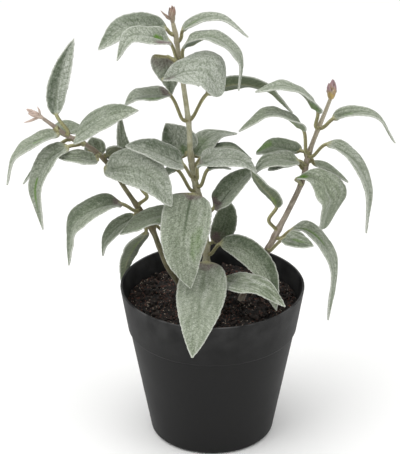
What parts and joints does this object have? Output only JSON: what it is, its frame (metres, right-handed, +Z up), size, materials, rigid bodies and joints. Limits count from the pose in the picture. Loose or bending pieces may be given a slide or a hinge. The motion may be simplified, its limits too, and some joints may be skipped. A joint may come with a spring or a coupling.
{
  "type": "potted sage",
  "caption": "Potted sage with three leafy stems, felted grey-green leaves and a bud on each tip, in a tapered charcoal nursery pot filled with dark soil.",
  "frame": {"origin": "centre of the pot's flat base, on the surface that it stands on", "axes": "+Z up, -Y towards the side that the large low leaves face, +X to the right of that view"},
  "size_m": [0.2467, 0.1362, 0.297],
  "materials": {
    "leaf_felt": "soft felted grey-green with a paler margin, matte",
    "stem_olive": "olive-beige young shoot, finely hairy, matte",
    "stem_dark": "dark olive-brown shoot, matte",
    "stem_taupe": "taupe-brown woody shoot, matte",
    "bud_tan": "pinkish tan bud scales, matte",
    "bud_mauve": "mauve bud with a yellow-brown base, matte",
    "soil": "dark crumbly potting soil, rough",
    "pot_plastic": "charcoal injection-moulded plastic, matte with a faint sheen at the lip"
  },
  "bodies": {
    "root": {"pot": "pot_plastic", "soil": "soil", "centre_stem": "stem_olive", "left_stem": "stem_dark", "right_stem": "stem_taupe", "centre_bud": "bud_tan", "left_bud": "bud_tan", "right_bud": "bud_mauve", "centre_leaf_01": "leaf_felt", "centre_leaf_02": "leaf_felt", "centre_leaf_03": "leaf_felt", "centre_leaf_04": "leaf_felt", "centre_leaf_05": "leaf_felt", "centre_leaf_06": "leaf_felt", "centre_leaf_07": "leaf_felt", "centre_leaf_08": "leaf_felt", "centre_leaf_09": "leaf_felt", "centre_leaf_10": "leaf_felt", "centre_leaf_11": "leaf_felt", "centre_leaf_12": "leaf_felt", "centre_leaf_13": "leaf_felt", "centre_leaf_14": "leaf_felt", "centre_leaf_15": "leaf_felt", "centre_leaf_16": "leaf_felt", "centre_leaf_17": "leaf_felt", "centre_leaf_18": "leaf_felt", "centre_leaf_19": "leaf_felt", "centre_leaf_20": "leaf_felt", "centre_leaf_21": "leaf_felt", "centre_leaf_22": "leaf_felt", "left_leaf_01": "leaf_felt", "left_leaf_02": "leaf_felt", "left_leaf_03": "leaf_felt", "left_leaf_04": "leaf_felt", "left_leaf_05": "leaf_felt", "left_leaf_06": "leaf_felt", "left_leaf_07": "leaf_felt", "left_leaf_08": "leaf_felt", "left_leaf_09": "leaf_felt", "left_leaf_10": "leaf_felt", "left_leaf_11": "leaf_felt", "left_leaf_12": "leaf_felt", "left_leaf_13": "leaf_felt", "left_leaf_14": "leaf_felt", "left_leaf_15": "leaf_felt", "right_leaf_01": "leaf_felt", "right_leaf_02": "leaf_felt", "right_leaf_03": "leaf_felt", "right_leaf_04": "leaf_felt", "right_leaf_05": "leaf_felt", "right_leaf_06": "leaf_felt", "right_leaf_07": "leaf_felt", "right_leaf_08": "leaf_felt", "right_leaf_09": "leaf_felt", "right_leaf_10": "leaf_felt", "right_leaf_11": "leaf_felt", "right_leaf_12": "leaf_felt"}
  },
  "joints": []
}
